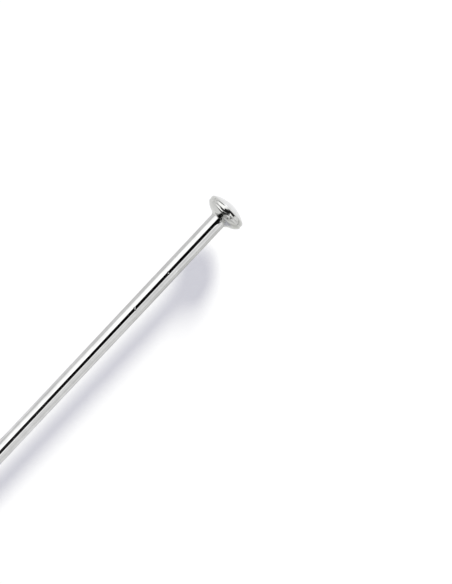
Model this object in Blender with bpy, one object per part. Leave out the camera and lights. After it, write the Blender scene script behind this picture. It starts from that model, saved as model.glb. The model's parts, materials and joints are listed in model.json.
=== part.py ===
"""A dressmaker's straight pin: a ground wire shank seated in a button head, lying as it rests on a table."""

from math import atan2, cos, hypot, pi, sin, tan

import bmesh
import bpy

# Unit: the model is in metres, and the sizes below are written in millimetres
MM = 0.001

# Overall length, from the tip of the point to the crown of the head
PIN_LENGTH = 30.0 * MM

# Wire and its ground point
WIRE_DIAMETER = 0.60 * MM
POINT_LENGTH = 2.10 * MM
TIP_RADIUS = 0.03 * MM
SEATED_END_CHAMFER = 0.04 * MM

# Button head, from its crown down to the foot of its neck
HEAD_DIAMETER = 1.46 * MM
CROWN_FLAT_DIAMETER = 0.20 * MM
DOME_HEIGHT = 0.207 * MM
DOME_ROUND = 0.036 * MM
SHOULDER_WIDTH = 0.049 * MM
SHOULDER_HEIGHT = 0.155 * MM
SHOULDER_ROUND = 0.029 * MM
CREASE_DEPTH = 0.012 * MM
RIM_BAND_HEIGHT = 0.088 * MM
UNDERSIDE_HEIGHT = 0.195 * MM
UNDERSIDE_ROUND = 0.026 * MM
NECK_FLARE = 0.10 * MM
NECK_HEIGHT = 0.09 * MM
NECK_HOLLOW = 0.012 * MM
NECK_WALL = 0.03 * MM

# Seat of the wire in the head
SOCKET_DEPTH = 0.54 * MM
SEAT_CLEARANCE = 0.006 * MM

# Facets round the pin and along each curved stretch of a profile
SIDES = 32
TIP_STEPS = 3
POINT_STEPS = 12
CURVE_STEPS = 6
WELD_DISTANCE = 1e-6 * MM

# Bright nickel finish
WIRE_COLOUR = (0.64, 0.64, 0.63, 1.0)
WIRE_ROUGHNESS = 0.14
HEAD_COLOUR = (0.63, 0.63, 0.61, 1.0)
HEAD_ROUGHNESS = 0.20
SHARP_ANGLE = pi / 6

# Places that follow from those sizes, measured along the pin from the tip
WIRE_RADIUS = WIRE_DIAMETER / 2
HEAD_RADIUS = HEAD_DIAMETER / 2
HEAD_HEIGHT = NECK_HEIGHT + UNDERSIDE_HEIGHT + RIM_BAND_HEIGHT + SHOULDER_HEIGHT + DOME_HEIGHT
FOOT_PLACE = PIN_LENGTH - HEAD_HEIGHT
RIM_PLACE = FOOT_PLACE + NECK_HEIGHT + UNDERSIDE_HEIGHT + RIM_BAND_HEIGHT / 2
SEATED_END_PLACE = FOOT_PLACE + SOCKET_DEPTH - SEAT_CLEARANCE

# The pin rests on the rim of its head and on the wire where the point begins
LIE_ANGLE = atan2(HEAD_RADIUS - WIRE_RADIUS, RIM_PLACE - POINT_LENGTH)


def clear_scene():
    """Remove every object that the file holds."""
    for thing in list(bpy.data.objects):
        bpy.data.objects.remove(thing, do_unlink=True)


def circle_points(centre, radius, first_angle, last_angle, steps):
    """Points (distance from the axis, height) along a circle, both ends included."""
    angles = [first_angle + (last_angle - first_angle) * i / steps for i in range(steps + 1)]
    return [(centre[0] + radius * cos(angle), centre[1] + radius * sin(angle)) for angle in angles]


def arc(start, end, rise):
    """Points after start, up to end, on the circle that stands this far to the left of their chord."""
    chord = hypot(end[0] - start[0], end[1] - start[1])
    left = ((start[1] - end[1]) / chord, (end[0] - start[0]) / chord)
    radius = (chord * chord / 4 + rise * rise) / (2 * rise)
    centre = [(start[i] + end[i]) / 2 + left[i] * (rise - radius) for i in range(2)]
    turn = 4 * atan2(2 * rise, chord)
    first = atan2(start[1] - centre[1], start[0] - centre[0])
    return circle_points(centre, abs(radius), first, first - turn, CURVE_STEPS)[1:]


def shank_profile():
    """Rounded tip, ogive tangent to both the tip and the wire, straight wire, chamfered seated end."""
    fall = WIRE_RADIUS - TIP_RADIUS
    reach = POINT_LENGTH - TIP_RADIUS
    ogive_radius = TIP_RADIUS + (fall * fall + reach * reach) / (2 * fall)
    ogive_centre = (WIRE_RADIUS - ogive_radius, POINT_LENGTH)
    tangent = -atan2(reach, -ogive_centre[0])
    tip = circle_points((0, TIP_RADIUS), TIP_RADIUS, -pi / 2, tangent, TIP_STEPS)
    tip[0] = (0, 0)
    point = circle_points(ogive_centre, ogive_radius, tangent, 0, POINT_STEPS)[1:]
    seated_end = [
        (WIRE_RADIUS, SEATED_END_PLACE - SEATED_END_CHAMFER),
        (WIRE_RADIUS - SEATED_END_CHAMFER, SEATED_END_PLACE),
        (0, SEATED_END_PLACE),
    ]
    return tip + point + seated_end


def head_profile():
    """Crown flat, dome, shoulder, rim band between two creases, bowl underside, hollow neck, blind socket."""
    socket_radius = WIRE_RADIUS + SEAT_CLEARANCE
    foot_radius = socket_radius + NECK_WALL
    crease_radius = HEAD_RADIUS - CREASE_DEPTH
    crown = (CROWN_FLAT_DIAMETER / 2, HEAD_HEIGHT)
    shoulder = (HEAD_RADIUS - SHOULDER_WIDTH, HEAD_HEIGHT - DOME_HEIGHT)
    upper_crease = (crease_radius, shoulder[1] - SHOULDER_HEIGHT)
    lower_crease = (crease_radius, upper_crease[1] - RIM_BAND_HEIGHT)
    neck = (foot_radius + NECK_FLARE, NECK_HEIGHT)
    foot = (foot_radius, 0)
    outside = [(0, HEAD_HEIGHT), crown]
    outside += arc(crown, shoulder, DOME_ROUND)
    outside += arc(shoulder, upper_crease, SHOULDER_ROUND)
    outside += arc(upper_crease, lower_crease, CREASE_DEPTH)
    outside += arc(lower_crease, neck, UNDERSIDE_ROUND)
    outside += arc(neck, foot, -NECK_HOLLOW)
    socket = [(socket_radius, 0), (socket_radius, SOCKET_DEPTH), (0, SOCKET_DEPTH)]
    return outside + socket


def turned_piece(name, profile, material):
    """Spin a profile about local Z, with its flats, not its corners, at the profile's own radius."""
    shape = bmesh.new()
    corner_slope = tan(pi / SIDES)
    ring = [shape.verts.new((radius, radius * corner_slope, height)) for radius, height in profile]
    edges = [shape.edges.new(pair) for pair in zip(ring, ring[1:])]
    bmesh.ops.spin(shape, geom=ring + edges, cent=(0, 0, 0), axis=(0, 0, 1), angle=2 * pi, steps=SIDES,
                   use_merge=True)
    bmesh.ops.remove_doubles(shape, verts=shape.verts[:], dist=WELD_DISTANCE)
    bmesh.ops.recalc_face_normals(shape, faces=shape.faces[:])
    mesh = bpy.data.meshes.new(name)
    shape.to_mesh(mesh)
    shape.free()
    mesh.shade_smooth()
    mesh.set_sharp_from_angle(angle=SHARP_ANGLE)
    mesh.materials.append(material)
    piece = bpy.data.objects.new(name, mesh)
    bpy.context.collection.objects.link(piece)
    return piece


def nickel(name, colour, roughness):
    """Polished metal plate."""
    material = bpy.data.materials.new(name)
    material.use_nodes = True
    shader = material.node_tree.nodes["Principled BSDF"]
    shader.inputs["Base Color"].default_value = colour
    shader.inputs["Metallic"].default_value = 1.0
    shader.inputs["Roughness"].default_value = roughness
    return material


def resting_axis():
    """Empty at the tip, with its Z along the pin, at the angle and height at which the pin lies."""
    axis = bpy.data.objects.new("pin_axis", None)
    axis.rotation_euler = (0, pi / 2 - LIE_ANGLE, 0)
    height = HEAD_RADIUS * cos(LIE_ANGLE) - RIM_PLACE * sin(LIE_ANGLE)
    axis.location = (-PIN_LENGTH * cos(LIE_ANGLE) / 2, 0, height)
    bpy.context.collection.objects.link(axis)
    return axis


def build_pin():
    """Seat the head on the wire and lay the pin down."""
    clear_scene()
    axis = resting_axis()
    wire_finish = nickel("wire_nickel", WIRE_COLOUR, WIRE_ROUGHNESS)
    head_finish = nickel("head_nickel", HEAD_COLOUR, HEAD_ROUGHNESS)
    shank = turned_piece("shank", shank_profile(), wire_finish)
    head = turned_piece("head", head_profile(), head_finish)
    head.location.z = FOOT_PLACE
    for piece in (shank, head):
        piece.parent = axis


build_pin()
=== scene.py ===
"""Looks of a dressmaker's straight pin: bright nickel wire and head, seen from above on a white table."""

import json
from math import atan2, cos, pi, radians, sin

import bpy
import numpy as np
from mathutils import Matrix, Vector


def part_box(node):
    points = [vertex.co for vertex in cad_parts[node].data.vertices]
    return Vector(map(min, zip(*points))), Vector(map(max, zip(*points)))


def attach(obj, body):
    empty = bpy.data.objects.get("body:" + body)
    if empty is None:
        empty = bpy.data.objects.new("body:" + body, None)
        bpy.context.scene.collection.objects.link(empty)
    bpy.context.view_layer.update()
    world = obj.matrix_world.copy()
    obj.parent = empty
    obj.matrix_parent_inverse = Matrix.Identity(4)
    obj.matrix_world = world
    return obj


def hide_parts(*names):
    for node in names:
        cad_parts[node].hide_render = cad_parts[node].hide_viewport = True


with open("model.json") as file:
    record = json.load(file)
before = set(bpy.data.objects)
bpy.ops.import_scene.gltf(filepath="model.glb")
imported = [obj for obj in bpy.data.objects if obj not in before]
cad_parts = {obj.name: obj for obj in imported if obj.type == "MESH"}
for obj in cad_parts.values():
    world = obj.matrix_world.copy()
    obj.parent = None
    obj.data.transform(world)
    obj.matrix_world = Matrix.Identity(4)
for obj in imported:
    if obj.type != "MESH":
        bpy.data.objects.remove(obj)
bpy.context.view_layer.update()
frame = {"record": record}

MM = 0.001

# Read from the frame: the crown of the head, the pin's own axes, its radii and its length
crown_mount = next(mount for mount in frame["record"]["mounts"] if mount["name"] == "crown")
CROWN = np.array(crown_mount["pos_m"])
ALONG = np.array(crown_mount["axis"]) / np.linalg.norm(crown_mount["axis"])
SIDE = np.array([0.0, 1.0, 0.0])
TOP = np.cross(ALONG, SIDE)
shank_low, shank_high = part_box("shank")
head_low, head_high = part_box("head")
WIRE_RADIUS = (shank_high[1] - shank_low[1]) / 2
HEAD_RADIUS = (head_high[1] - head_low[1]) / 2
PIN_LENGTH = (CROWN[0] - shank_low[0]) / ALONG[0]
TIP = CROWN - PIN_LENGTH * ALONG

# Ground point
POINT_LENGTH = 2.10 * MM
TIP_RADIUS = 0.03 * MM

# Head, from its crown down to the foot of its neck
CROWN_FLAT_RADIUS = 0.10 * MM
DOME_HEIGHT = 0.207 * MM
DOME_ROUND = 0.036 * MM
SHOULDER_WIDTH = 0.049 * MM
SHOULDER_HEIGHT = 0.155 * MM
SHOULDER_ROUND = 0.029 * MM
CREASE_DEPTH = 0.012 * MM
RIM_BAND_HEIGHT = 0.088 * MM
UNDERSIDE_HEIGHT = 0.195 * MM
UNDERSIDE_ROUND = 0.026 * MM
NECK_FLARE = 0.10 * MM
NECK_HEIGHT = 0.09 * MM
NECK_HOLLOW = 0.012 * MM
NECK_WALL = 0.03 * MM
FOOT_LIP = 0.012 * MM
SOCKET_DEPTH = 0.54 * MM
SEAT_CLEARANCE = 0.006 * MM
SEATED_END_CHAMFER = 0.04 * MM
HEAD_HEIGHT = NECK_HEIGHT + UNDERSIDE_HEIGHT + RIM_BAND_HEIGHT + SHOULDER_HEIGHT + DOME_HEIGHT
FOOT_PLACE = PIN_LENGTH - HEAD_HEIGHT
CREASE_HEIGHTS = NECK_HEIGHT + UNDERSIDE_HEIGHT + np.array([0, RIM_BAND_HEIGHT])
SOCKET_RADIUS = WIRE_RADIUS + SEAT_CLEARANCE
SEATED_END_PLACE = FOOT_PLACE + SOCKET_DEPTH - SEAT_CLEARANCE

# Grooves that the press left in the two creases of the rim
GROOVE_DEPTH = 0.003 * MM
GROOVE_HALF_WIDTH = 0.012 * MM

# Head as it came out of the press: rings canted, foot lifted, rim sagging, dome and bowl off the axis
RING_CANT_SIDE = 0.015
RING_CANT_TOP = 0.050
FOOT_LIFT = 0.040 * MM
FOOT_LIFT_TURN = radians(30)
FOOT_LIFT_REACH = 0.20 * MM
RIM_SAG = 0.026 * MM
RIM_SAG_TURN = radians(14)
RIM_SAG_SPREAD = radians(18)
RIM_SAG_HALF_HEIGHT = 0.09 * MM
DRIFT_HEIGHTS = np.array([0.0, 0.09, 0.16, 0.36, 0.56, 0.735]) * MM
DRIFT_SIDES = np.array([0.0, -0.035, -0.034, -0.010, 0.008, 0.0]) * MM

# Wire as it was drawn: a little oval, with a slow twist
WIRE_OVAL = 0.0010 * MM
WIRE_TWIST_PITCH = 11 * MM

# Marks of use, and on the head painted dark reflections. Each has its place in mm (from the tip, or up from
# the foot of the head), its turn from the top in degrees, its half length and half width in mm, the slant of
# its length to the pin's axis in degrees, its height in mm, and how scuffed the wire is there or how dark
# the head's painted reflection is there
MARK_UNITS = np.array([MM, radians(1), MM, MM, radians(1), MM, 1])
MARK_HEIGHT, MARK_WEAR_AND_PAINTED_DARK = 5, 6
WIRE_MARKS = MARK_UNITS * np.array([
    (26.75, 0, 0.035, 0.018, 65, -0.009, 1.0),
    (25.05, 0, 0.055, 0.020, 60, -0.010, 1.4),
    (18.86, -10, 0.020, 0.030, 0, 0.004, 0.5),
    (27.00, -34, 0.045, 0.017, 25, -0.004, 1.2),
    (29.235, -20, 0.105, 0.045, 0, 0.007, 0),
    (29.214, -22, 0.034, 0.045, 0, 0.010, 0),
])
# On the head the last column is painted dark reflection, not dirt
HEAD_MARKS = MARK_UNITS * np.array([
    (0.322, -22, 0.024, 0.028, 0, -0.013, 1.0),
    (0.250, -14, 0.024, 0.028, 0, -0.012, 0.8),
    (0.312, -5, 0.050, 0.055, 0, 0.004, 0),
    (0.342, -13, 0.030, 0.085, 0, -0.007, 0),
    (0.165, 3, 0.050, 0.130, 0, 0.0045, 0),
    (0.452, -51, 0.070, 0.020, 52, -0.008, 0.7),
    (0.352, -55, 0.045, 0.020, -30, -0.008, 0.7),
    (0.470, 53, 0.035, 0.035, 0, -0.006, 0.3),
    (0.165, -28, 0.060, 0.240, 0, 0, 0.12),
    (0.154, 7.6, 0.067, 0.046, -24, 0, 4.0),
    (0.205, 3, 0.030, 0.024, -15, 0, 2.5),
    (0.373, -16, 0.030, 0.120, 0, 0.004, 0),
    (0.020, -1, 0.030, 0.050, 0, 0, 1.6),
])

# Painted shade and dark reflection in the two creases: a little all round, and more about one turn
CREASE_PAINTED_DARK = 0.05
CREASE_PAINTED_DARK_MORE = np.array([1.3, 1.8])
CREASE_PAINTED_DARK_TURN = radians(9)
CREASE_PAINTED_DARK_SPREAD = radians(10)
CREASE_PAINTED_DARK_HALF_WIDTHS = np.array([0.018, 0.020]) * MM

# Mesh density. Each mark on the wire gets rings of its own, out to so many of its half lengths
ARC_STEPS = 60
TIP_STEPS = 12
POINT_STEPS = 80
WIRE_COLUMNS = 256
WIRE_RINGS = 120
MARK_RINGS = 24
MARK_REACH = 3
HEAD_COLUMNS = 256
HEAD_RINGS = 290

# Digits of a metre to which two rings count as one, weights that ease corners, small ring that a fan closes
PLACE_DIGITS = 8
EASING_WEIGHTS = np.array([1, 2, 3, 2, 1]) / 9
FAN_RING_SHARE = 1 / 20

# Mesh attribute that keeps the wire's scuffs and the head's painted dark reflections and painted crease
# shade
WEAR_AND_PAINTED_DARK = "wear_and_painted_dark"

# Plating: its cloudiness and its handling scratches, in noise per millimetre
CLOUD_DETAIL = 4.0
CLOUD_ROUGHNESS = 0.6
CLOUD_RANGE = (0.3, 0.7)
SCRATCH_STRETCH = (1.2, 22.0, 22.0)
SCRATCH_DETAIL = 2.0
SCRATCH_RANGE = (0.66, 0.74)

# Finish of the wire
WIRE_LINE_STRETCH = (0.10, 20.0, 20.0)
WIRE_LINE_DETAIL = 3.0
WIRE_LINE_ROUGHNESS = 0.6
WIRE_LINE_SHARE = 0.88
WIRE_CLOUD_SCALE = 2.5
WIRE_CLOUD_SHARE = 0.12
WIRE_TONE_RANGE = (0.32, 0.68)
WIRE_DARK = (0.55, 0.55, 0.55, 1)
WIRE_PALE = (0.75, 0.75, 0.747, 1)
WIRE_SCUFFED = (0.95, 0.95, 0.95, 1)
WIRE_EDGE_TINT = (0.78, 0.78, 0.78, 1)
WIRE_SCRATCH_SLANT = (0.0, 0.0, 0.3)
WIRE_ROUGHNESS = 0.03
WIRE_LINE_ROUGHER = 0.06
WIRE_SCUFF_ROUGHER = 0.5
WIRE_SCRATCH_ROUGHER = 0.12
WIRE_BUMP_STRENGTH = 0.3
WIRE_BUMP_HEIGHT = 0.001 * MM

# Finish of the head
HEAD_CLOUD_SCALE = 6.0
HEAD_SCRATCH_SLANT = (0.4, 0.9, 1.2)
HEAD_UNEVEN_SCALE = 9.0
HEAD_UNEVEN_DETAIL = 2.0
HEAD_DARK = (0.595, 0.597, 0.583, 1)
HEAD_PALE = (0.66, 0.662, 0.65, 1)
# Painted dark reflections and crease shade on the head: near-black colour, thinned a little in places, and
# rougher
PAINTED_DARK_COLOUR = (0.003, 0.003, 0.0028, 1)
PAINTED_DARK_THINNEST = 0.92
PAINTED_DARK_THIN_RANGE = (0.2, 0.5)
HEAD_ROUGHNESS = 0.04
HEAD_CLOUD_ROUGHER = 0.05
HEAD_PAINTED_DARK_ROUGHER = 0.15
HEAD_SCRATCH_ROUGHER = 0.1
HEAD_BUMP_STRENGTH = 0.5
HEAD_BUMP_HEIGHT = 0.004 * MM

# Sockets of the Mix node when it mixes colours, and two plain colours
MIX_SHARE, MIX_FIRST, MIX_SECOND, MIX_COLOUR = 0, 6, 7, 2
WHITE = (1, 1, 1, 1)
BLACK = (0, 0, 0, 1)

# Photograph: its frame, its scale, the pin's slant and the pixel of the foot of the head
PHOTO_WIDTH, PHOTO_HEIGHT = 452, 584
PIXEL = MM / 28.7
FOOT_PIXEL = (217.95, 220.36)
AXIS_SLANT = radians(46.77)
LENS_MM = 300
SENSOR_MM = 36
NEAREST_SEEN = 10 * MM

# Light that falls on the pin and the table
FILL_COLOUR = (0.350, 0.352, 0.385, 1)
KEY_STRENGTH = 4.05
KEY_COLOUR = (1.0, 1.0, 0.87)
KEY_WIDTH = radians(12.5)
KEY_ELEVATION = radians(30.7)
KEY_BEARING = radians(18.3)

# Table: the photograph's shadow stands off the pin, so the white lies this far below it
TABLE_DROP = 0.90 * MM
TABLE_HALF = 0.5
TABLE_COLOUR = (0.62, 0.62, 0.62, 1)
TABLE_GLOW = (0.40, 0.40, 0.44, 1)

# Painted pools of light and shade on the table, which only metal mirrors: x, y, inner and outer radius in
# mm, added glow
MIRRORED_GLOW = 0.75
PAINTED_LIGHT_AND_SHADE_PATCHES = [
    (16.5, 0, 0.7, 1.8, 0.60),
    (20.0, -0.4, 1.5, 3.5, 0.45),
    (17.8, 1.1, 0.4, 1.4, 0.30),
    (19.0, 0.75, 0.35, 0.75, 1.3),
    (20.6, 1.1, 0.6, 1.1, 1.1),
    (23, 1.5, 0.6, 1.5, 1.5),
    (38, 4.5, 6.0, 11.0, 1.2),
    (60, -14, 10.0, 20.0, -0.6),
    (17, 11, 2.0, 5.0, -0.5),
    (15.7, -2.4, 0.5, 1.6, -0.1),
    (12.5, -5.0, 2.0, 4.5, -0.25),
    (11.5, -2.6, 1.0, 4.0, -0.30),
    (0, -45, 25.0, 36.0, -0.6),
    (16.5, 4.6, 1.0, 2.5, 0.3),
    (3, 1.8, 2.0, 6.0, 0.35),
    (-4, -3, 4.0, 8.5, -0.7),
    (-60, -8, 40.0, 52.0, -0.7),
    (12.2, -1.1, 0.5, 1.2, 0.4),
    (-220, -330, 100.0, 220.0, -0.5),
]

# Cards and panels that only metal mirrors. Each edge names what it crosses, where the panel has ended and
# where it is whole. Two painted dark reflections, black and grey, lie on the table beside the wire in place
# of cards, placed by x and by the slope of a line from under the head
PAINTED_SLOPES_FROM = 14.5 * MM
TABLE_PAINTED_BLACK = [("slope", 0.01, 0.03), ("slope", 0.135, 0.115), ("x", 4 * MM, 3 * MM)]
TABLE_PAINTED_GREY = [("slope", -0.30, -0.26), ("slope", -0.01, -0.05), ("x", -3 * MM, -5 * MM)]
TABLE_PAINTED_GREY_SHARE = 0.35

# The others stand round the pin, placed by the direction that a reflection leaves in: x towards the head,
# y to the left, z up, and across, its angle from straight up to the left. The first is a black card
# overhead. Its left edge moves ahead and behind and softens ahead, and its right edge steps twice
OVERHEAD_LEFT = 0.32
OVERHEAD_LEFT_AHEAD = -0.46
OVERHEAD_LEFT_BEHIND = 0.30
OVERHEAD_SOFT = 0.03
OVERHEAD_SOFT_AHEAD = 0.29
OVERHEAD_RIGHT_STEP = (-0.30, -0.10)
OVERHEAD_RIGHT_EDGES = (-0.46, -0.38)
OVERHEAD_INSET_STEP = (-0.80, -0.62)
OVERHEAD_INSET = 0.54
OVERHEAD_CARD = [("inside", -0.03, 0.03), ("aside", 1.0, -1.0)]

# Black cards beyond the head and behind the pin, and how black all are, most in what the wire mirrors
AHEAD_CARD_SKEW = -0.293
AHEAD_CARD = [("skew", -0.90, -0.85), ("y", 0.04, -0.16), ("spread", 0.62, 0.70), ("x", 0.04, 0.09)]
SLAT = [("x", -0.90, -0.82), ("x", -0.39, -0.47), ("y", 0.03, 0.09), ("y", 1.00, 0.55)]
POST = [("y", -0.055, -0.005), ("y", 0.10, 0.05), ("x", -0.80, -0.86)]
WING = [("x", -0.955, -0.935), ("x", -0.79, -0.81), ("y", 0.04, 0.08), ("y", 0.57, 0.53)]
WIRE_VIEW = [("x", -0.10, -0.06), ("x", 0.04, 0.00)]
CARD_BLACK = -0.975
CARD_BLACKER = -0.022

# Bright panels of the pale room: a softbox to the left, a gap ahead, a spark and a long strip to the right
SOFTBOX = [("aside", 0.0, 2.0), ("z", 0.15, 0.60), ("x", -0.60, -0.45)]
GAP = [("y", 0.10, 0.16), ("y", 0.34, 0.28), ("x", 0.80, 0.88)]
SPARK = [("y", -0.70, -0.62), ("y", -0.32, -0.40), ("x", -0.57, -0.53), ("x", -0.10, -0.14)]
SPARK_SHARE = 0.75
BRIGHT_MORE = 0.60
STRIP = [("across", -0.62, -0.56), ("across", -0.37, -0.43)]
STRIP_MORE = 0.35

# Dim parts of the room: low on the right and left, behind on the right with two lighter places, low ahead
SKIRTING = [("across", -1.30, -1.42)]
SKIRTING_MORE = -0.05
PLINTH = [("z", 0.20, 0.10), ("y", 0.60, 0.80), ("x", -0.30, -0.10)]
PLINTH_MORE = -0.3
DIM_CORNER = [("y", 0.05, -0.05), ("x", -0.10, -0.45)]
DIM_CORNER_MORE = -0.45
LIGHTER_BACK = [("x", -0.60, -0.75), ("y", -0.18, -0.42)]
LIGHTER_RIGHT = [("y", -0.52, -0.66)]
LIGHTER_MORE = 0.18
LOW_AHEAD = [("z", 0.52, 0.38), ("x", 0.45, 0.60), ("y", 0.30, 0.36)]
LOW_AHEAD_SHADE = -0.8


def circle(centre, radius, first, last, count):
    """Points (distance from the axis, place along it) at even steps of angle along a circle."""
    angle = np.linspace(first, last, count)
    return np.stack([centre[0] + radius * np.cos(angle), centre[1] + radius * np.sin(angle)], axis=1)


def arc(start, end, bulge):
    """The circle through two points that stands this far to the left of their chord."""
    start, end = np.array(start), np.array(end)
    chord = np.hypot(*(end - start))
    left = np.array([start[1] - end[1], end[0] - start[0]]) / chord
    radius = (chord * chord / 4 + bulge * bulge) / (2 * bulge)
    centre = (start + end) / 2 + left * (bulge - radius)
    first = atan2(*(start - centre)[::-1])
    return circle(centre, abs(radius), first, first - 4 * atan2(2 * bulge, chord), ARC_STEPS)


def even_steps(line, count):
    """The same polyline read at even steps of its own length."""
    length = np.concatenate([[0], np.cumsum(np.hypot(*np.diff(line, axis=0).T))])
    steps = np.linspace(0, length[-1], count)
    return np.stack([np.interp(steps, length, line[:, i]) for i in range(2)], axis=1)


def eased(line):
    """The same line with its corners eased: each point is a weighted mean of its near neighbours."""
    reach = len(EASING_WEIGHTS) // 2
    wide = np.pad(line, ((reach, reach), (0, 0)), mode="edge")
    return np.stack([np.convolve(wide[:, i], EASING_WEIGHTS, mode="valid") for i in range(2)], axis=1)


def bell(distance):
    """Gaussian of height one, by the distance from its middle in half widths."""
    return np.exp(-distance ** 2)


def turn_from(turn, start):
    """Turn measured from another turn, the short way round."""
    return (turn - start + pi) % (2 * pi) - pi


def mark_shapes(place, turn, radius, marks):
    """For each mark a Gaussian of height one on the unrolled surface, its length at a slant to the axis."""
    mark_place, mark_turn, half_length, half_width, slant = marks.T[:MARK_HEIGHT]
    along = place[:, None, None] - mark_place
    around = turn_from(turn[None, :, None], mark_turn) * radius[:, None, None]
    length = (along * np.cos(slant) + around * np.sin(slant)) / half_length
    width = (around * np.cos(slant) - along * np.sin(slant)) / half_width
    return bell(length) * bell(width)


def on_pin(place, out, turn, aside=0):
    """Points at a place along the pin's axis, a distance out, a turn from its top and a shift aside."""
    spoke = np.cos(turn)[..., None] * TOP + np.sin(turn)[..., None] * SIDE
    return TIP + place[..., None] * ALONG + out[..., None] * spoke + np.asarray(aside)[..., None] * SIDE


def wire_profile():
    """Round tip, ogive tangent to the tip and to the wire, straight wire, chamfered seated end."""
    fall, reach = WIRE_RADIUS - TIP_RADIUS, POINT_LENGTH - TIP_RADIUS
    ogive_radius = TIP_RADIUS + (fall * fall + reach * reach) / (2 * fall)
    ogive_centre = (WIRE_RADIUS - ogive_radius, POINT_LENGTH)
    tangent = -atan2(reach, -ogive_centre[0])
    tip = circle((0, TIP_RADIUS), TIP_RADIUS, -pi / 2, tangent, TIP_STEPS)[1:-1]
    point = circle(ogive_centre, ogive_radius, tangent, 0, POINT_STEPS)
    end = [(WIRE_RADIUS, SEATED_END_PLACE - SEATED_END_CHAMFER)]
    end += [(WIRE_RADIUS - SEATED_END_CHAMFER, SEATED_END_PLACE)]
    return np.concatenate([tip, point, end])


def wire_grid():
    """The profile carried round the axis, a little oval with a slow twist, with its marks in height.

    Also gives how scuffed each point is, from zero to one.
    """
    profile_radius, profile_place = wire_profile().T
    mark_place, _, mark_half_length = WIRE_MARKS.T[:3]
    spans = np.linspace(-MARK_REACH, MARK_REACH, MARK_RINGS)
    near_marks = (mark_place + spans[:, None] * mark_half_length).ravel()
    wire = np.linspace(POINT_LENGTH, SEATED_END_PLACE - SEATED_END_CHAMFER, WIRE_RINGS)
    place = np.unique(np.round(np.concatenate([profile_place, wire, near_marks]), PLACE_DIGITS))
    radius = np.interp(place, profile_place, profile_radius)
    turn = np.linspace(0, 2 * pi, WIRE_COLUMNS, endpoint=False)
    twist = 2 * pi * place / WIRE_TWIST_PITCH
    oval = WIRE_OVAL * (radius / WIRE_RADIUS)[:, None] * np.cos(2 * turn - twist[:, None])
    shapes = mark_shapes(place, turn, radius, WIRE_MARKS)
    out = radius[:, None] + oval + shapes @ WIRE_MARKS[:, MARK_HEIGHT]
    return on_pin(place[:, None], out, turn), np.clip(shapes @ WIRE_MARKS[:, MARK_WEAR_AND_PAINTED_DARK], 0, 1)


def head_line():
    """Outside of the head from its foot up: neck, bowl, rim band, shoulder and dome as arcs, flat crown."""
    foot = (SOCKET_RADIUS + FOOT_LIP, 0)
    neck = (SOCKET_RADIUS + NECK_WALL + NECK_FLARE, NECK_HEIGHT)
    crease = HEAD_RADIUS - CREASE_DEPTH
    lower_crease, upper_crease = [(crease, height) for height in CREASE_HEIGHTS]
    shoulder = (HEAD_RADIUS - SHOULDER_WIDTH, upper_crease[1] + SHOULDER_HEIGHT)
    crown = (CROWN_FLAT_RADIUS, HEAD_HEIGHT)
    runs = [
        arc(foot, neck, NECK_HOLLOW),
        arc(neck, lower_crease, -UNDERSIDE_ROUND),
        arc(lower_crease, upper_crease, -CREASE_DEPTH),
        arc(upper_crease, shoulder, -SHOULDER_ROUND),
        arc(shoulder, crown, -DOME_ROUND),
        [(CROWN_FLAT_RADIUS * FAN_RING_SHARE, HEAD_HEIGHT)],
    ]
    line = even_steps(np.concatenate(runs), HEAD_RINGS)
    for crease_height in CREASE_HEIGHTS:
        line[:, 0] -= GROOVE_DEPTH * bell((line[:, 1] - crease_height) / GROOVE_HALF_WIDTH)
    return eased(line)


def ring_cant(turn):
    """How far a canted ring rises along the axis, for each unit of distance from it."""
    return RING_CANT_SIDE * np.sin(turn) + RING_CANT_TOP * np.cos(turn)


def foot_lift(turn):
    """How far the foot of the neck stands up from its place: most at one turn, and as much down opposite."""
    return FOOT_LIFT * np.cos(turn - FOOT_LIFT_TURN)


def head_outside(line, turn, shapes):
    """The outside carried round the axis, with its marks in height along the line's normal.

    Along the axis the rings are canted, the foot is lifted and the rim sags. Each ring drifts aside by its
    height.
    """
    radius, height = line.T
    tangent = np.gradient(line, axis=0)
    tangent /= np.hypot(*tangent.T)[:, None]
    marks = shapes @ HEAD_MARKS[:, MARK_HEIGHT]
    out = radius[:, None] + tangent[:, 1, None] * marks
    low = np.interp(height, [0, FOOT_LIFT_REACH], [1, 0])[:, None] ** 2
    sag = RIM_SAG * bell(turn_from(turn, RIM_SAG_TURN) / RIM_SAG_SPREAD)
    rim = bell((height - CREASE_HEIGHTS.mean()) / RIM_SAG_HALF_HEIGHT)[:, None]
    place = FOOT_PLACE + height[:, None] - tangent[:, 0, None] * marks
    place = place + out * ring_cant(turn) + foot_lift(turn) * low - sag * rim
    return on_pin(place, out, turn, np.interp(height, DRIFT_HEIGHTS, DRIFT_SIDES)[:, None])


def head_socket(turn):
    """Blind socket for the wire, from its floor to its mouth, which follows the lifted and canted foot."""
    radius = SOCKET_RADIUS * np.array([FAN_RING_SHARE, 1, 1])[:, None]
    height = np.array([SOCKET_DEPTH, SOCKET_DEPTH, 0])[:, None]
    at_mouth = np.array([0, 0, 1])[:, None]
    place = FOOT_PLACE + height + at_mouth * (foot_lift(turn) + SOCKET_RADIUS * ring_cant(turn))
    return on_pin(place, radius, turn)


def head_painted_dark(height, turn, shapes):
    """Painted dark from zero to one: painted dark reflections in the marks, and painted shade along the two
    creases, more about one turn.
    """
    near_crease = bell((height[:, None] - CREASE_HEIGHTS) / CREASE_PAINTED_DARK_HALF_WIDTHS)
    heavy = bell(turn_from(turn, CREASE_PAINTED_DARK_TURN) / CREASE_PAINTED_DARK_SPREAD)
    in_crease = CREASE_PAINTED_DARK + CREASE_PAINTED_DARK_MORE[:, None] * heavy
    return np.clip(shapes @ HEAD_MARKS[:, MARK_WEAR_AND_PAINTED_DARK] + near_crease @ in_crease, 0, 1)


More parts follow.
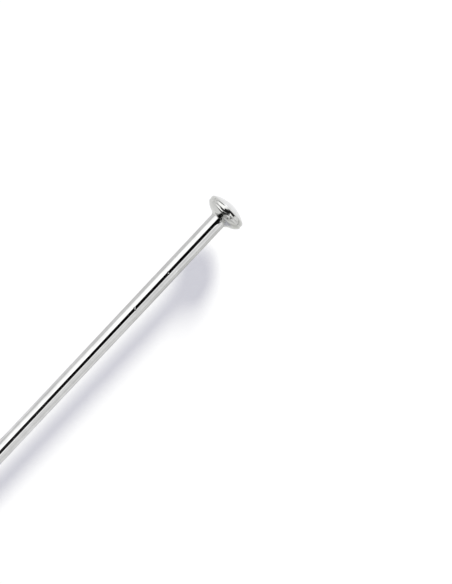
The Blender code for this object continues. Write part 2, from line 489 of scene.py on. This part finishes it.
def head_grid():
    """The rings of the socket and then those of the outside, and the painted dark reflection and shade at
    each of their points.
    """
    line = head_line()
    radius, height = line.T
    turn = np.linspace(0, 2 * pi, HEAD_COLUMNS, endpoint=False)
    shapes = mark_shapes(height, turn, radius, HEAD_MARKS)
    socket = head_socket(turn)
    painted_dark = head_painted_dark(height, turn, shapes)
    grid = np.concatenate([socket, head_outside(line, turn, shapes)])
    return grid, np.concatenate([np.zeros(socket.shape[:2]), painted_dark])


def add_object(name, data):
    """New object in the scene, at the origin."""
    thing = bpy.data.objects.new(name, data)
    bpy.context.collection.objects.link(thing)
    return thing


def closed_skin(name, grid, wear_and_painted_dark):
    """Mesh of a grid of rings, each closed on itself, with a fan to the middle of the first and last ring.

    Each point keeps its wear and painted dark: scuffs on the wire, painted dark reflections and shade on the
    head.
    """
    rings, columns = grid.shape[:2]
    poles = grid[[0, -1]].mean(axis=1)
    points = np.concatenate([grid.reshape(-1, 3), poles])
    here = np.arange(rings * columns).reshape(rings, columns)
    beside = np.roll(here, -1, axis=1)
    quads = np.stack([here[:-1], here[1:], beside[1:], beside[:-1]], axis=-1).reshape(-1, 4)
    first_fan = np.stack([np.full(columns, len(points) - 2), here[0], beside[0]], axis=-1)
    last_fan = np.stack([np.full(columns, len(points) - 1), beside[-1], here[-1]], axis=-1)
    mesh = bpy.data.meshes.new(name)
    mesh.from_pydata(points.tolist(), [], quads.tolist() + first_fan.tolist() + last_fan.tolist())
    mesh.shade_smooth()
    values = np.concatenate([wear_and_painted_dark.ravel(), np.zeros(len(poles))]).astype(np.float32)
    mesh.attributes.new(WEAR_AND_PAINTED_DARK, "FLOAT", "POINT").data.foreach_set("value", values)
    return add_object(name, mesh)


def feed(tree, socket, value):
    """Give a socket another node's output, or a plain value."""
    if isinstance(value, bpy.types.NodeSocket):
        tree.links.new(value, socket)
    else:
        socket.default_value = value


def node(tree, kind, inputs=(), **settings):
    """A node with its settings, and its inputs given by name or number."""
    made = tree.nodes.new("ShaderNode" + kind)
    for name, value in settings.items():
        setattr(made, name, value)
    for name, value in dict(inputs).items():
        feed(tree, made.inputs[name], value)
    return made


def calc(tree, operation, *values):
    """Result of a Math node."""
    return node(tree, "Math", enumerate(values), operation=operation).outputs[0]


def plus(tree, base, value, share):
    """A base plus a share of another value."""
    return calc(tree, "MULTIPLY_ADD", value, share, base)


def product(tree, first, *others):
    """Several values multiplied."""
    for value in others:
        first = calc(tree, "MULTIPLY", first, value)
    return first


def largest(tree, first, *others):
    """The largest of several values."""
    for value in others:
        first = calc(tree, "MAXIMUM", first, value)
    return first


def rise(tree, value, start, end, low=0.0, high=1.0):
    """Smooth step from low to high as the value goes from start to end."""
    inputs = {"Value": value, "From Min": start, "From Max": end, "To Min": low, "To Max": high}
    return node(tree, "MapRange", inputs, interpolation_type="SMOOTHSTEP").outputs[0]


def edge(tree, value, ended, whole):
    """Smooth step at a panel's edge: zero where the panel has ended, one where it is whole."""
    if ended < whole:
        return rise(tree, value, ended, whole)
    return rise(tree, value, whole, ended, 1.0, 0.0)


def panel(tree, places, edges):
    """Mask of a card or a bright panel: the smooth steps at all its edges, multiplied."""
    return product(tree, *[edge(tree, places[name], ended, whole) for name, ended, whole in edges])


def mixed(tree, share, first, second):
    """Two colours mixed: the first at a share of zero, the second at one."""
    inputs = {MIX_SHARE: share, MIX_FIRST: first, MIX_SECOND: second}
    return node(tree, "Mix", inputs, data_type="RGBA").outputs[MIX_COLOUR]


def new_group(name, inputs, outputs):
    """Shader node group with these sockets, and its two end nodes."""
    tree = bpy.data.node_groups.new(name, "ShaderNodeTree")
    for socket, kind in inputs.items():
        tree.interface.new_socket(socket, in_out="INPUT", socket_type="NodeSocket" + kind)
    for socket, kind in outputs.items():
        tree.interface.new_socket(socket, in_out="OUTPUT", socket_type="NodeSocket" + kind)
    return tree, tree.nodes.new("NodeGroupInput"), tree.nodes.new("NodeGroupOutput")


def pin_place_group():
    """Object point to millimetres along the pin from its tip, to its side and towards its top."""
    tree, start, end = new_group("pin_place", {"Point": "Vector"}, {"Place": "Vector"})
    lie = atan2(ALONG[2], ALONG[0])
    frame_on_pin = {"Location": TIP, "Rotation": (0, -lie, 0), "Scale": (MM, MM, MM)}
    mapping = node(tree, "Mapping", {"Vector": start.outputs["Point"]} | frame_on_pin, vector_type="TEXTURE")
    feed(tree, end.inputs["Place"], mapping.outputs["Vector"])
    return tree


def plate_cloud_group():
    """Faint cloudiness of the plating: noise with fine detail, read through a smooth step."""
    tree, start, end = new_group("plate_cloud", {"Place": "Vector", "Scale": "Float"}, {"Tone": "Float"})
    inputs = {"Vector": start.outputs["Place"], "Scale": start.outputs["Scale"]}
    noise = node(tree, "TexNoise", inputs | {"Detail": CLOUD_DETAIL, "Roughness": CLOUD_ROUGHNESS})
    feed(tree, end.inputs["Tone"], rise(tree, noise.outputs[0], *CLOUD_RANGE))
    return tree


def handling_scratch_group():
    """Sparse fine lines at a slant: noise drawn out along one direction and cut off high."""
    sockets = {"Place": "Vector", "Slant": "Vector"}
    tree, start, end = new_group("handling_scratches", sockets, {"Mask": "Float"})
    inputs = {"Vector": start.outputs["Place"], "Rotation": start.outputs["Slant"], "Scale": SCRATCH_STRETCH}
    mapping = node(tree, "Mapping", inputs)
    noise = node(tree, "TexNoise", {"Vector": mapping.outputs[0], "Scale": 1.0, "Detail": SCRATCH_DETAIL})
    feed(tree, end.inputs["Mask"], rise(tree, noise.outputs[0], *SCRATCH_RANGE))
    return tree


def use(tree, group, **inputs):
    """A group node with its inputs fed by name."""
    made = node(tree, "Group", node_tree=group)
    for name, value in inputs.items():
        feed(tree, made.inputs[name], value)
    return made.outputs


def metal(name):
    """New material, its node tree and its metal shader."""
    material = bpy.data.materials.new(name)
    material.use_nodes = True
    shader = material.node_tree.nodes["Principled BSDF"]
    shader.inputs["Metallic"].default_value = 1.0
    return material, material.node_tree, shader


def place_on_pin(tree, groups):
    """Place of a surface point on the pin, in millimetres."""
    point = node(tree, "TexCoord").outputs["Object"]
    return use(tree, groups["pin_place"], Point=point)["Place"]


def wire_material(groups):
    """Bright nickel over drawn wire: lengthwise lines, cloudiness, a few scratches, scuffs at the nicks."""
    material, tree, shader = metal("wire_nickel")
    place = place_on_pin(tree, groups)
    stretch = node(tree, "Mapping", {"Vector": place, "Scale": WIRE_LINE_STRETCH}).outputs[0]
    noise = {"Vector": stretch, "Scale": 1.0, "Detail": WIRE_LINE_DETAIL, "Roughness": WIRE_LINE_ROUGHNESS}
    lines = node(tree, "TexNoise", noise).outputs[0]
    cloud = use(tree, groups["plate_cloud"], Place=place, Scale=WIRE_CLOUD_SCALE)["Tone"]
    scratch = use(tree, groups["handling_scratches"], Place=place, Slant=WIRE_SCRATCH_SLANT)["Mask"]
    scuff = node(tree, "Attribute", attribute_name=WEAR_AND_PAINTED_DARK).outputs["Fac"]
    tone = plus(tree, product(tree, cloud, WIRE_CLOUD_SHARE), lines, WIRE_LINE_SHARE)
    colour = mixed(tree, rise(tree, tone, *WIRE_TONE_RANGE), WIRE_DARK, WIRE_PALE)
    feed(tree, shader.inputs["Base Color"], mixed(tree, scuff, colour, WIRE_SCUFFED))
    rough = plus(tree, WIRE_ROUGHNESS, lines, WIRE_LINE_ROUGHER)
    rough = plus(tree, rough, scuff, WIRE_SCUFF_ROUGHER)
    feed(tree, shader.inputs["Roughness"], plus(tree, rough, scratch, WIRE_SCRATCH_ROUGHER))
    feed(tree, shader.inputs["Specular Tint"], WIRE_EDGE_TINT)
    height = calc(tree, "SUBTRACT", lines, scratch)
    bump = {"Height": height, "Strength": WIRE_BUMP_STRENGTH, "Distance": WIRE_BUMP_HEIGHT}
    feed(tree, shader.inputs["Normal"], node(tree, "Bump", bump).outputs[0])
    return material


def head_material(groups):
    """Bright nickel over pressed steel: cloudiness, scratches, painted dark reflections and crease shade,
    and a slightly uneven surface.
    """
    material, tree, shader = metal("head_nickel")
    place = place_on_pin(tree, groups)
    cloud = use(tree, groups["plate_cloud"], Place=place, Scale=HEAD_CLOUD_SCALE)["Tone"]
    scratch = use(tree, groups["handling_scratches"], Place=place, Slant=HEAD_SCRATCH_SLANT)["Mask"]
    noise = {"Vector": place, "Scale": HEAD_UNEVEN_SCALE, "Detail": HEAD_UNEVEN_DETAIL}
    uneven = node(tree, "TexNoise", noise).outputs[0]
    # Painted dark reflections and crease shade, read from the mesh and thinned a little by the uneven noise
    painted_dark = node(tree, "Attribute", attribute_name=WEAR_AND_PAINTED_DARK).outputs["Fac"]
    cover = product(tree, painted_dark, rise(tree, uneven, *PAINTED_DARK_THIN_RANGE, PAINTED_DARK_THINNEST, 1.0))
    colour = mixed(tree, cloud, HEAD_DARK, HEAD_PALE)
    feed(tree, shader.inputs["Base Color"], mixed(tree, cover, colour, PAINTED_DARK_COLOUR))
    rough = plus(tree, HEAD_ROUGHNESS, cloud, HEAD_CLOUD_ROUGHER)
    rough = plus(tree, rough, painted_dark, HEAD_PAINTED_DARK_ROUGHER)
    feed(tree, shader.inputs["Roughness"], plus(tree, rough, scratch, HEAD_SCRATCH_ROUGHER))
    bump = {"Height": uneven, "Strength": HEAD_BUMP_STRENGTH, "Distance": HEAD_BUMP_HEIGHT}
    feed(tree, shader.inputs["Normal"], node(tree, "Bump", bump).outputs[0])
    return material


def dress():
    """Put the finished wire and head in the place of their solids."""
    groups = {
        "pin_place": pin_place_group(),
        "plate_cloud": plate_cloud_group(),
        "handling_scratches": handling_scratch_group(),
    }
    wire = closed_skin("nickel_wire", *wire_grid())
    wire.data.materials.append(wire_material(groups))
    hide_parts("shank")
    head = closed_skin("button_head", *head_grid())
    head.data.materials.append(head_material(groups))
    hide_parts("head")
    for piece in (wire, head):
        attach(piece, "root")


def table_material():
    """White that glows a little to the camera and in reflections, with painted pools of light and shade and
    two painted dark marks, in place of cards, that only metal mirrors.
    """
    paint = bpy.data.materials.new("table_white")
    paint.use_nodes = True
    tree = paint.node_tree
    shader = tree.nodes["Principled BSDF"]
    path = node(tree, "LightPath").outputs
    point = node(tree, "TexCoord").outputs["Object"]
    glow = MIRRORED_GLOW
    # Painted pools of light and shade in the table's glow, which only reflections show
    for patch_x, patch_y, inner, outer, more in PAINTED_LIGHT_AND_SHADE_PATCHES:
        centre = (patch_x * MM, patch_y * MM, -TABLE_DROP)
        reach = node(tree, "VectorMath", {0: point, 1: centre}, operation="DISTANCE").outputs["Value"]
        glow = calc(tree, "ADD", rise(tree, reach, inner * MM, outer * MM, more, 0.0), glow)
    x, y, _ = node(tree, "SeparateXYZ", {0: point}).outputs
    # Two painted dark reflections on the table, black and grey, which only reflections show; they stand in
    # for cards
    slope = calc(tree, "DIVIDE", y, calc(tree, "SUBTRACT", PAINTED_SLOPES_FROM, x))
    places = {"x": x, "slope": slope}
    dark_panel = product(tree, panel(tree, places, TABLE_PAINTED_BLACK), path["Is Glossy Ray"])
    painted_grey = product(tree, panel(tree, places, TABLE_PAINTED_GREY), path["Is Glossy Ray"], TABLE_PAINTED_GREY_SHARE)
    feed(tree, shader.inputs["Base Color"], mixed(tree, largest(tree, dark_panel, painted_grey), TABLE_COLOUR, BLACK))
    feed(tree, shader.inputs["Specular IOR Level"], 0.0)
    feed(tree, shader.inputs["Emission Color"], TABLE_GLOW)
    mirrored = product(tree, glow, calc(tree, "SUBTRACT", path["Is Glossy Ray"], dark_panel))
    feed(tree, shader.inputs["Emission Strength"], largest(tree, path["Is Camera Ray"], mirrored))
    return paint


def table():
    """White table that keeps the pin's shadow."""
    corners = np.array([(-1, -1, 0), (1, -1, 0), (1, 1, 0), (-1, 1, 0)]) * TABLE_HALF
    corners[:, 2] = -TABLE_DROP
    mesh = bpy.data.meshes.new("table")
    mesh.from_pydata(corners.tolist(), [], [(0, 1, 2, 3)])
    mesh.materials.append(table_material())
    add_object("table", mesh)


def studio_places(tree):
    """What the studio's panels are placed by, for the direction of a reflection.

    That is its x, y, z and angle across the pin; how far it lies to the left of the overhead card, in widths
    of that card's soft edge; how far inside that card's right edge; and two sums of x and y, which place the
    slanting edges of the card ahead.
    """
    direction = node(tree, "TexCoord").outputs["Generated"]
    x, y, z = node(tree, "SeparateXYZ", {0: direction}).outputs
    across = calc(tree, "ARCTAN2", y, z)
    ahead = calc(tree, "MAXIMUM", x, 0.0)
    left_edge = plus(tree, OVERHEAD_LEFT, ahead, OVERHEAD_LEFT_AHEAD)
    left_edge = plus(tree, left_edge, calc(tree, "MINIMUM", x, 0.0), OVERHEAD_LEFT_BEHIND)
    soft = plus(tree, OVERHEAD_SOFT, ahead, OVERHEAD_SOFT_AHEAD)
    inset = rise(tree, x, *OVERHEAD_INSET_STEP, OVERHEAD_INSET, 0.0)
    right_edge = calc(tree, "ADD", inset, rise(tree, x, *OVERHEAD_RIGHT_STEP, *OVERHEAD_RIGHT_EDGES))
    return {
        "x": x,
        "y": y,
        "z": z,
        "across": across,
        "aside": calc(tree, "DIVIDE", calc(tree, "SUBTRACT", across, left_edge), soft),
        "inside": calc(tree, "SUBTRACT", across, right_edge),
        "skew": plus(tree, y, x, AHEAD_CARD_SKEW),
        "spread": calc(tree, "SUBTRACT", x, y),
    }


def left_by_cards(tree, places):
    """Share of the light that the black cards leave: one beside them, next to nothing where one is whole."""
    cards = (OVERHEAD_CARD, AHEAD_CARD, SLAT, POST, WING)
    dark = largest(tree, *[panel(tree, places, dark_panel) for dark_panel in cards])
    black = plus(tree, CARD_BLACK, panel(tree, places, WIRE_VIEW), CARD_BLACKER)
    return plus(tree, 1.0, dark, black)


def room_level(tree, places):
    """Brightness of the pale room in reflections: one, more in bright panels and less in dim parts."""
    spark = product(tree, panel(tree, places, SPARK), SPARK_SHARE)
    bright = largest(tree, panel(tree, places, SOFTBOX), spark, panel(tree, places, GAP))
    level = plus(tree, 1.0, panel(tree, places, STRIP), STRIP_MORE)
    level = plus(tree, level, bright, BRIGHT_MORE)
    level = plus(tree, level, panel(tree, places, SKIRTING), SKIRTING_MORE)
    level = plus(tree, level, panel(tree, places, PLINTH), PLINTH_MORE)
    lighter = largest(tree, panel(tree, places, LIGHTER_BACK), panel(tree, places, LIGHTER_RIGHT))
    dim_more = plus(tree, DIM_CORNER_MORE, lighter, LIGHTER_MORE)
    level = plus(tree, level, panel(tree, places, DIM_CORNER), dim_more)
    return product(tree, level, plus(tree, 1.0, panel(tree, places, LOW_AHEAD), LOW_AHEAD_SHADE))


def studio():
    """World: plain fill for matt surfaces, white for the camera, the room and its cards for bright metal."""
    world = bpy.data.worlds.new("studio")
    bpy.context.scene.world = world
    world.use_nodes = True
    tree = world.node_tree
    tree.nodes.clear()
    places = studio_places(tree)
    level = product(tree, room_level(tree, places), left_by_cards(tree, places))
    fill = node(tree, "Background", {"Color": FILL_COLOUR}).outputs[0]
    white = node(tree, "Background", {"Color": WHITE}).outputs[0]
    mirrored = node(tree, "Background", {"Color": WHITE, "Strength": level}).outputs[0]
    path = node(tree, "LightPath").outputs
    glossy = node(tree, "MixShader", {0: path["Is Glossy Ray"], 1: fill, 2: mirrored}).outputs[0]
    seen = node(tree, "MixShader", {0: path["Is Camera Ray"], 1: glossy, 2: white}).outputs[0]
    node(tree, "OutputWorld", {"Surface": seen})


def key_light():
    """One low key lamp from beyond the head, left out of reflections."""
    lamp = bpy.data.lights.new("key_light", "SUN")
    lamp.energy = KEY_STRENGTH
    lamp.color = KEY_COLOUR
    lamp.angle = KEY_WIDTH
    light = add_object("key_light", lamp)
    flat = cos(KEY_ELEVATION)
    towards = Vector((flat * cos(KEY_BEARING), flat * sin(KEY_BEARING), sin(KEY_ELEVATION)))
    light.rotation_euler = towards.to_track_quat("Z", "Y").to_euler()
    light.visible_glossy = False


def photograph_camera():
    """Long lens straight above the pin, turned so that the axis slants up to the right."""
    lens = bpy.data.cameras.new("camera")
    lens.lens = LENS_MM
    lens.sensor_width = SENSOR_MM
    lens.clip_start = NEAREST_SEEN
    camera = add_object("camera", lens)
    back = Vector((0, 0, 1))
    right = Vector((cos(AXIS_SLANT), -sin(AXIS_SLANT), 0))
    up = Vector((sin(AXIS_SLANT), cos(AXIS_SLANT), 0))
    foot = Vector(TIP + FOOT_PLACE * ALONG)
    foot_right = (FOOT_PIXEL[0] - PHOTO_WIDTH / 2) * PIXEL
    foot_up = (PHOTO_HEIGHT / 2 - FOOT_PIXEL[1]) * PIXEL
    aim = foot - foot_right * right - foot_up * up
    distance = PHOTO_HEIGHT * PIXEL * LENS_MM / SENSOR_MM
    camera.matrix_world = Matrix((right, up, back)).transposed().to_4x4()
    camera.location = aim + distance * back
    bpy.context.scene.camera = camera


dress()
table()
studio()
key_light()
photograph_camera()
bpy.context.scene.view_settings.view_transform = "Standard"
